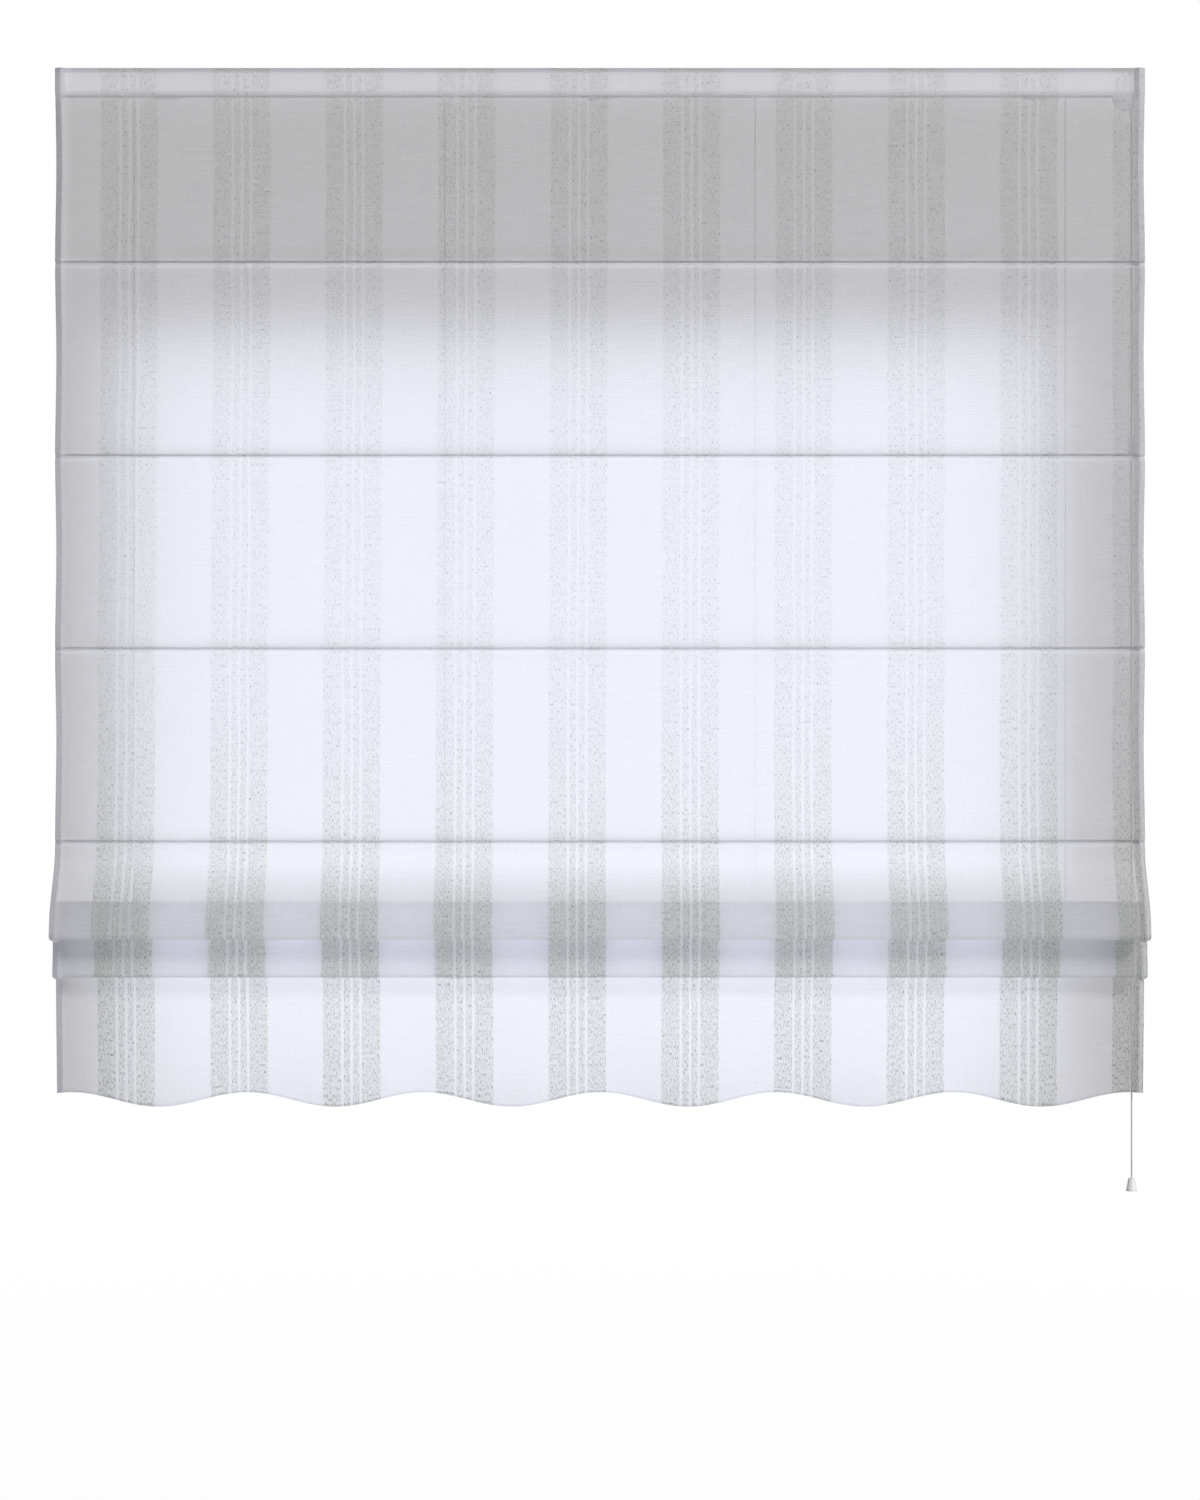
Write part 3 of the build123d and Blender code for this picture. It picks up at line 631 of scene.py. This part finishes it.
def sheet_piece(name, path, body, cloth_start, slack_span=None, shape=None, upright=False):
    """A piece of the cloth: the cross section carried down a path in (y, z), with the map of its weave."""
    build = bmesh.new()
    uv_layer = build.loops.layers.uv.new(CLOTH_MAP)
    along = [cloth_start]
    for first, second in zip(path, path[1:]):
        along.append(along[-1] + (second - first).length)
    rows, marks = [], {}
    for place, point in enumerate(path):
        row = []
        before, after = path[max(place - 1, 0)], path[min(place + 1, len(path) - 1)]
        down = (after - before).normalized()
        to_back = Vector((1, 0)) if upright else Vector((-down.y, down.x))
        for x, offset in SECTION:
            y, z = point + to_back * offset
            x_here = x
            if slack_span:
                top, bottom = slack_span
                share = min(1.0, max(0.0, (top - z) / (top - bottom)))
                swell = sin(share * pi) ** 2
                x_here = x * (1 - EDGE_PULL_SHARE * swell)
                y += SLACK * swell * noise.noise(Vector((x, y, z)) / SLACK_GRAIN)
            if shape:
                x_here, y, z = shape(x, y, z)
            vertex = build.verts.new((x_here, y, z))
            marks[vertex] = (x, along[place])
            row.append(vertex)
        rows.append(row)
    for upper, lower in zip(rows, rows[1:]):
        for column in range(len(SECTION) - 1):
            corners = (upper[column], upper[column + 1], lower[column + 1], lower[column])
            face = build.faces.new(corners)
            for loop in face.loops:
                loop[uv_layer].uv = marks[loop.vert]
    return mesh_piece(name, build, cloth_paint, body, "cloth"), along[-1]


def crease_above(z):
    """The sheet's line just above a stave: a slight bulge, then the tuck."""
    return [
        (cloth_y, z + CREASE_START_HEIGHT),
        (cloth_y - CREASE_BULGE, z + CREASE_BULGE_HEIGHT),
        (tuck_y, z),
    ]


def crease_below(z):
    """The sheet's line from the tuck at a stave back to the panel below it."""
    return [(tuck_y, z), (cloth_y, z - CREASE_FOOT)]


CREASE_ABOVE_ROUNDS = [CREASE_FOOT_ROUND, CREASE_ROUND]
sheets = []


def hang(name, path, body, held="hung", rests_on="headrail", **options):
    """Builds the next piece of the cloth, below the last one, and notes what it is as a sheet."""
    cloth_start = sheets[-1]["end"] if sheets else 0.0
    made, cloth_end = sheet_piece(name, path, body, cloth_start, **options)
    sheets.append({
        "piece": made,
        "length": cloth_end - cloth_start,
        "end": cloth_end,
        "held": held,
        "rests_on": rests_on,
    })
    return made


head_front_y, head_back_y = cloth_y - TOP_TURN_GAP, cloth_y + TOP_TURN_GAP / 2
head_path = rounded_path(
    [
        (head_back_y, cloth_top - TOP_TURN),
        (head_back_y, cloth_top),
        (head_front_y, cloth_top),
        (head_front_y, rail_low.z + CREASE_FOOT),
        (cloth_y, rail_low.z),
    ],
    [TOP_TURN_GAP / 2, TOP_TURN_GAP / 2, CREASE_FOOT_ROUND],
)
hang("cloth_head", head_path, "headrail", rests_on="loop_tape", upright=True)

panel_tops = [rail_low.z, *stave_z[:PANEL_COUNT - 1]]
panel_bodies = ["headrail", *STAVE_BODIES[:PANEL_COUNT - 1]]
panel_joints = ["raise", "gather_2", "gather_3", "gather_4"]
panel_rows = zip(panel_tops, stave_z, panel_bodies, panel_joints)
for number, (top, bottom, body, joint) in enumerate(panel_rows, start=1):
    start, start_rounds = crease_below(top), [CREASE_FOOT_ROUND]
    if number == 1:
        start, start_rounds = [(cloth_y, top)], []
    path = rounded_path([*start, *crease_above(bottom)], [*start_rounds, *CREASE_ABOVE_ROUNDS])
    panel = hang(
        f"cloth_panel_{number}",
        path,
        body,
        rests_on=body if number == 1 else f"stave_{number - 1}",
        slack_span=(cloth_top if number == 1 else top, bottom),
    )
    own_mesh(panel)


def fold_points(top_z, depth, drop, front_shares, bottom_round):
    """Points of a fold from its top: the swaying front, then the two corners of its round bottom."""
    points = [(cloth_y - forward * depth, top_z - down * drop) for forward, down in front_shares]
    points.append((cloth_y - depth, top_z - drop))
    points.append((cloth_y - depth + 2 * bottom_round, top_z - drop))
    return points


fold_1_points = fold_points(
    fold_1_top, FOLD_1_DEPTH, FOLD_1_DROP, FOLD_1_FRONT_SHARES, FOLD_1_BOTTOM_ROUND
)
fold_1_rounds = [FOLD_SWAY_ROUND] * len(FOLD_1_FRONT_SHARES) + [FOLD_1_BOTTOM_ROUND] * 2
fold_1_path = rounded_path(
    [*crease_below(fold_1_top), *fold_1_points, (tuck_y, fold_2_top + FOLD_TUCK_HALF)],
    [CREASE_FOOT_ROUND, *fold_1_rounds],
    FOLD_ROW_STEP,
)
split_at = next(n for n, point in enumerate(fold_1_path) if point.y < fold_2_top)
fold_front = hang("cloth_fold_front", fold_1_path[: split_at + 1], "bottom_staves", "folded", "stave_4")
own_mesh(fold_front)
hang("cloth_fold_loop", fold_1_path[split_at:], "bottom_staves", "folded", "stave_5")

fold_2_points = fold_points(
    fold_2_top, FOLD_2_DEPTH, FOLD_2_DROP, FOLD_2_FRONT_SHARES, FOLD_2_BOTTOM_ROUND
)
fold_2_rounds = [FOLD_SWAY_ROUND] * len(FOLD_2_FRONT_SHARES) + [FOLD_2_BOTTOM_ROUND] * 2
fold_2_path = rounded_path(
    [
        (tuck_y, fold_2_top + FOLD_TUCK_HALF),
        (tuck_y, fold_2_top - FOLD_TUCK_HALF),
        *fold_2_points,
        (tuck_y, valance_top + FOLD_TUCK_HALF),
        (tuck_y, valance_top),
    ],
    [FOLD_CREASE_ROUND, *fold_2_rounds, FOLD_CREASE_ROUND],
    FOLD_ROW_STEP,
)
hang("cloth_second_fold", fold_2_path, "bottom_staves", "folded", "stave_5")


def hem_shape(x, y, z):
    """Brings the valance's straight rows to the wavy hem, swung in depth and drawn in at the sides."""
    share = min(1.0, max(0.0, (valance_top - z) / (valance_top - hem_z)))
    wave = cos(2 * pi * x / WAVE_PITCH)
    swing = share ** WAVE_SWING_POWER * WAVE_SWING * wave
    lift = share ** WAVE_LIFT_POWER * WAVE_HEIGHT / 2 * wave
    return x * (1 - VALANCE_PULL_SHARE * share), y + swing, z + lift


valance_path = rounded_path(
    [
        (tuck_y, valance_top),
        (tuck_y, hem_z),
        (tuck_y + HEM_LAYER_GAP, hem_z),
        (tuck_y + HEM_LAYER_GAP, hem_z + BOTTOM_HEM),
    ],
    [BOTTOM_HEM_ROUND, BOTTOM_HEM_ROUND],
)
hang("cloth_valance", valance_path, "bottom_staves", "hung", "stave_6", shape=hem_shape, upright=True)


# Round pieces
def lathe(build, centre, profile, axes=(X_AXIS, Y_AXIS, Z_AXIS), parts=ROUND_PARTS):
    """Turns a profile of (radius, distance along the last axis) round a centre; gives the rings' points."""
    first, second, axis = axes
    rings = []
    for radius, height in profile:
        ring = []
        for part in range(parts):
            turn = 2 * pi * part / parts
            arm = first * cos(turn) + second * sin(turn)
            ring.append(build.verts.new(centre + axis * height + arm * radius))
        rings.append(ring)
    for one, other in zip(rings, rings[1:]):
        for part in range(parts):
            build.faces.new((one[part - 1], one[part], other[part], other[part - 1]))
    return rings


def rod(build, centre, radius, low, high, axes=(X_AXIS, Y_AXIS, Z_AXIS), parts=ROUND_PARTS):
    """A round rod between two distances along the last axis, closed at both ends."""
    rings = lathe(build, centre, [(radius, low), (radius, high)], axes, parts)
    build.faces.new(list(reversed(rings[0])))
    build.faces.new(rings[1])


def torus(build, centre, plane, ring_radius, wire_radius, ring_parts=ROUND_PARTS, wire_parts=WIRE_PARTS):
    """A round ring of wire in the plane of two directions."""
    axis_1, axis_2 = plane
    up = axis_1.cross(axis_2)
    loops = []
    for part in range(ring_parts):
        turn = 2 * pi * part / ring_parts
        arm = axis_1 * cos(turn) + axis_2 * sin(turn)
        loop = []
        for wire_part in range(wire_parts):
            wire_turn = 2 * pi * wire_part / wire_parts
            place = arm * (ring_radius + wire_radius * cos(wire_turn)) + up * wire_radius * sin(wire_turn)
            loop.append(build.verts.new(centre + place))
        loops.append(loop)
    for part in range(ring_parts):
        one, other = loops[part - 1], loops[part]
        for wire_part in range(wire_parts):
            build.faces.new((one[wire_part - 1], other[wire_part - 1], other[wire_part], one[wire_part]))


# Staves in their casings, with their tips and rings
ALONG_X = (Y_AXIS, Z_AXIS, X_AXIS)
stave_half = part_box("stave_1")[1].x
tip_start = half_width - TIP_LENGTH
tip_profile = [
    (STAVE_RADIUS, tip_start),
    (TIP_RADIUS, tip_start),
    (TIP_RADIUS, half_width - TIP_ROUND),
    (TIP_RADIUS - TIP_ROUND_STEP, half_width - TIP_ROUND_STEP),
    (TIP_RADIUS - TIP_ROUND, half_width),
]
for number, (z, body) in enumerate(zip(stave_z, STAVE_BODIES), start=1):
    centre = Vector((0, stave_y, z))

    build = bmesh.new()
    rod(build, centre, STAVE_RADIUS, -stave_half, stave_half, ALONG_X)
    mesh_piece(f"rod_{number}", build, solid_paints["glass_fibre"], body, f"stave_{number}")

    build = bmesh.new()
    for side in (-1, 1):
        rings = lathe(build, centre, tip_profile, (Y_AXIS, Z_AXIS * side, X_AXIS * side))
        build.faces.new(rings[-1])
    mesh_piece(f"rod_tips_{number}", build, gloss_paint, body, f"stave_tips_{number}")

    build = bmesh.new()
    casing_half = half_width - CASING_INSET
    lathe(build, centre, [(CASING_RADIUS, -casing_half), (CASING_RADIUS, casing_half)], ALONG_X)
    uv_layer = build.loops.layers.uv.new(CLOTH_MAP)
    for face in build.faces:
        for loop in face.loops:
            loop[uv_layer].uv = (loop.vert.co.x, loop.vert.co.z)
    mesh_piece(f"casing_{number}", build, cloth_paint, body, "cloth")

    build = bmesh.new()
    ties = bmesh.new()
    tie_y = (stave_y + CASING_RADIUS + lane_y - RING_RADIUS) / 2
    for x in cord_x:
        torus(build, Vector((x, lane_y, z)), (X_AXIS, Y_AXIS), RING_RADIUS, RING_WIRE_RADIUS)
        for turn in (-1, 0, 1):
            tie_centre = Vector((x + turn * 2 * THREAD_RADIUS, tie_y, z))
            torus(
                ties,
                tie_centre,
                (Y_AXIS, Z_AXIS),
                THREAD_LOOP_RADIUS,
                THREAD_RADIUS,
                THREAD_LOOP_PARTS,
                THREAD_PARTS,
            )
    mesh_piece(f"cord_rings_{number}", build, gloss_paint, body, f"rings_{number}")
    mesh_piece(f"ring_ties_{number}", ties, solid_paints["sewing_thread"], body)


# Beads on the cords' ends, the joiner and the bell
def bead_profile(low, high, radius, hole):
    """A turned bead between two heights, with rounded ends and a hole at both."""
    curve = BEAD_ROUND_SHARE * radius
    quarter = [pi / 2 * part / ARC_PARTS for part in range(ARC_PARTS + 1)]
    lower = [(radius - curve * (1 - sin(turn)), low + curve * (1 - cos(turn))) for turn in quarter]
    upper = [(r, high + low - z) for r, z in reversed(lower)]
    depth = (high - low) * BEAD_HOLE_SHARE
    return [(hole, low + depth), (hole, low), *lower, *upper, (hole, high), (hole, high - depth)]


build = bmesh.new()
stop_low, stop_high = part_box("cord_stops")
for x in cord_x:
    lathe(build, Vector((x, lane_y, 0)), bead_profile(stop_low.z, stop_high.z, BEAD_RADIUS, CORD_RADIUS))
mesh_piece("cord_beads", build, gloss_paint, "bottom_staves", "cord_stops")

draw_x = middle("pull_cord").x
draw_centre = Vector((draw_x, lane_y, 0))


def outline(node, shares):
    """An outline given in shares of a solid's radius and of its height from the top."""
    low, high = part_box(node)
    radius = (high.x - low.x) / 2
    return [(out * radius, high.z - down * (high.z - low.z)) for out, down in shares]


joiner_low, joiner_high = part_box("cord_joiner")
build = bmesh.new()
mouth_floor = joiner_high.z - JOINER_HOLE_DEPTH
joiner_rings = lathe(build, draw_centre, [
    (JOINER_MOUTH_RADIUS, mouth_floor),
    (JOINER_MOUTH_RADIUS, joiner_high.z),
    *outline("cord_joiner", JOINER_SHARES),
    (PULL_HOLE_RADIUS, joiner_low.z),
    (PULL_HOLE_RADIUS, joiner_low.z + JOINER_HOLE_DEPTH),
])
build.faces.new(joiner_rings[0])
joiner = mesh_piece("joiner_bead", build, gloss_paint, "pull", "cord_joiner")

bell_low, bell_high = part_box("pull_bell")
bell_radius = (bell_high.x - bell_low.x) / 2
roof_z = bell_high.z - BELL_ROOF
build = bmesh.new()
lathe(build, draw_centre, [
    (PULL_HOLE_RADIUS, roof_z),
    (PULL_HOLE_RADIUS, bell_high.z),
    *outline("pull_bell", BELL_SHARES),
    (BELL_INNER_TOP_SHARE * bell_radius, roof_z),
    (PULL_HOLE_RADIUS, roof_z),
])
bell = mesh_piece("bell_shell", build, solid_paints["satin_plastic"], "pull", "pull_bell")


# Cords
def cord_curve(name, points, radius, body, node):
    """A cord on one smooth spline."""
    curve = bpy.data.curves.new(name, "CURVE")
    curve.dimensions = "3D"
    curve.bevel_depth = radius
    curve.bevel_resolution = BEVEL_PARTS
    curve.use_fill_caps = True
    spline = curve.splines.new("NURBS")
    spline.points.add(len(points) - 1)
    for control, point in zip(spline.points, points):
        control.co = (*point, 1.0)
    spline.order_u = 3
    spline.use_endpoint_u = True
    return piece(name, curve, cord_paint, body, node)


pull_low, pull_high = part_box("pull_cord")
knot_z = pull_low.z + KNOT_HEIGHT / 2
pull_points = [(draw_x, lane_y, z) for z in (pull_high.z, pull_high.z - PULL_CORD_LEAD, knot_z)]
pull = cord_curve("pull_line", pull_points, PULL_CORD_RADIUS, "pull", "pull_cord")
build = bmesh.new()
for tilt in (-1, 1):
    lean = (X_AXIS + Z_AXIS * tilt * KNOT_LEAN_SHARE).normalized()
    knot_centre = draw_centre + Z_AXIS * (knot_z + tilt * KNOT_SPLIT)
    torus(build, knot_centre, (lean, Y_AXIS), KNOT_LOOP_RADIUS, PULL_CORD_RADIUS)
knot = mesh_piece("pull_knot", build, cord_paint, "pull")

roller_z = middle("guide_roller_1").z
lane_z = roller_z + CORD_BEND
lock_x = middle("lock_roller").x
cord_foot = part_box("lift_cord_1")[0].z
draw_foot = joiner_high.z - JOINER_CORD_DEPTH
lanes = [lane_y + LANE_PITCH * (n - (CORD_COUNT - 1) / 2) for n in range(CORD_COUNT)]
for number, (x, lane) in enumerate(zip(cord_x, lanes), start=1):
    node = f"lift_cord_{number}"

    build = bmesh.new()
    rod(build, Vector((x, lane, 0)), CORD_RADIUS, cord_foot, roller_z, parts=CORD_PARTS)
    lift = mesh_piece(f"lift_line_{number}", build, cord_paint, "headrail", node)
    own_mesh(lift)

    route = [
        (x, lane, roller_z),
        (x, lane, lane_z),
        (x + CORD_BEND, lane, lane_z),
        (lock_x, lane, lane_z),
        (draw_x, lane, lane_z),
        (draw_x, lane, roller_z),
    ]
    cord_curve(f"rail_line_{number}", route, CORD_RADIUS, "headrail", node)

    build = bmesh.new()
    rod(build, Vector((draw_x, lane, 0)), CORD_RADIUS, draw_foot, roller_z, parts=CORD_PARTS)
    draw = mesh_piece(f"draw_line_{number}", build, cord_paint, node=node)
    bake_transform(draw)


# Solids that show as they are
SLOT_FINISHES = {
    "rail": "powder_coat",
    "steel": "zinc_plate",
    "rail_plastic": "white_plastic",
    "roller": "roller_plastic",
    "tape": "tape_pile",
}
for row in frame["record"]["subparts"]:
    finish = SLOT_FINISHES.get(row["material_slot"])
    if finish:
        solid = nodes[row["node"]]
        solid.data.materials.clear()
        solid.data.materials.append(solid_paints[finish])


# Stage: a pale floor that is white to the eye and keeps a soft shadow
def seen_directly(paint):
    """Whether a ray comes from the camera, a glossy or a clear surface, and isn't scattered by cloth."""
    path = paint.node("ShaderNodeLightPath").outputs
    seen = paint.math("MAXIMUM", path["Is Camera Ray"], path["Is Glossy Ray"])
    seen = paint.math("MAXIMUM", seen, path["Is Transmission Ray"])
    return paint.math("MULTIPLY", seen, paint.math("SUBTRACT", 1.0, path["Is Diffuse Ray"]))


half_floor = FLOOR_SIZE / 2
corner_signs = ((-1, -1), (1, -1), (1, 1), (-1, 1))
floor_points = [(x_sign * half_floor, y_sign * half_floor, FLOOR_Z) for x_sign, y_sign in corner_signs]
floor_mesh = bpy.data.meshes.new("floor")
floor_mesh.from_pydata(floor_points, [], [range(len(floor_points))])
floor_piece = bpy.data.objects.new("floor", floor_mesh)
bpy.context.scene.collection.objects.link(floor_piece)

floor_paint = Paint("pale_floor")
floor_paint.surface.inputs["Base Color"].default_value = (*FLOOR_COLOUR, 1)
floor_paint.surface.inputs["Roughness"].default_value = FLOOR_ROUGHNESS
floor_x, floor_y, _ = floor_paint.split(floor_paint.places())
away = floor_paint.node("ShaderNodeVectorMath", operation="LENGTH")
floor_paint.link(floor_paint.vector(floor_x, floor_y), away.inputs[0])
white_share = floor_paint.stretch(away.outputs["Value"], FLOOR_NEAR, FLOOR_FAR, FLOOR_WHITE_SHARE, 1.0)
white_share = floor_paint.math("MULTIPLY", white_share, seen_directly(floor_paint))
white = floor_paint.node("ShaderNodeEmission").outputs[0]
upper = floor_paint.mix_shaders(white_share, floor_paint.surface.outputs[0], white)
below = floor_paint.node("ShaderNodeNewGeometry").outputs["Backfacing"]
clear = floor_paint.node("ShaderNodeBsdfTransparent").outputs[0]
floor_paint.link(floor_paint.mix_shaders(below, upper, clear), floor_paint.output.inputs["Surface"])
floor_mesh.materials.append(floor_paint.material)

# Light: a white surround to the eye, a faint even fill, a weak lamp in front, a key from the upper right
# and a soft lamp close behind the cloth
world = Paint("studio", bpy.data.worlds)
world.surface.inputs["Color"].default_value = (1, 1, 1, 1)
world.link(world.stretch(seen_directly(world), 0.0, 1.0, FILL, 1.0), world.surface.inputs["Strength"])
bpy.context.scene.world = world.material


def area_lamp(name, place, target, size, watts, colour=(1, 1, 1)):
    """A soft lamp turned to a target, which the camera doesn't see."""
    lamp = bpy.data.lights.new(name, "AREA")
    lamp.shape = "RECTANGLE"
    lamp.size, lamp.size_y = size
    lamp.energy = watts
    lamp.color = colour
    made = bpy.data.objects.new(name, lamp)
    made.location = place
    made.rotation_mode = "QUATERNION"
    made.rotation_quaternion = (Vector(target) - Vector(place)).to_track_quat("-Z", "Y")
    made.visible_camera = False
    bpy.context.scene.collection.objects.link(made)


back_x, _, back_z = BACK_LAMP["place"]
area_lamp("front", target=AIM, **FRONT_LAMP)
area_lamp("key", target=AIM, **KEY_LAMP)
area_lamp("back", target=(back_x, cloth_y, back_z), **BACK_LAMP)

# Camera
view_z = cloth_top - (PICTURE_HEIGHT / 2 - CLOTH_TOP_ROW) * METRES_PER_PIXEL
half_view = PICTURE_HEIGHT / 2 * METRES_PER_PIXEL
camera_data = bpy.data.cameras.new("camera")
camera_data.sensor_width = SENSOR
camera_data.lens = SENSOR / 2 * CAMERA_DISTANCE / half_view
camera = bpy.data.objects.new("camera", camera_data)
camera.rotation_mode = "QUATERNION"
camera.location = (0, cloth_y - CAMERA_DISTANCE, view_z)
camera.rotation_quaternion = Y_AXIS.to_track_quat("-Z", "Y")
bpy.context.scene.collection.objects.link(camera)
bpy.context.scene.camera = camera
bpy.context.scene.view_settings.view_transform = "Standard"
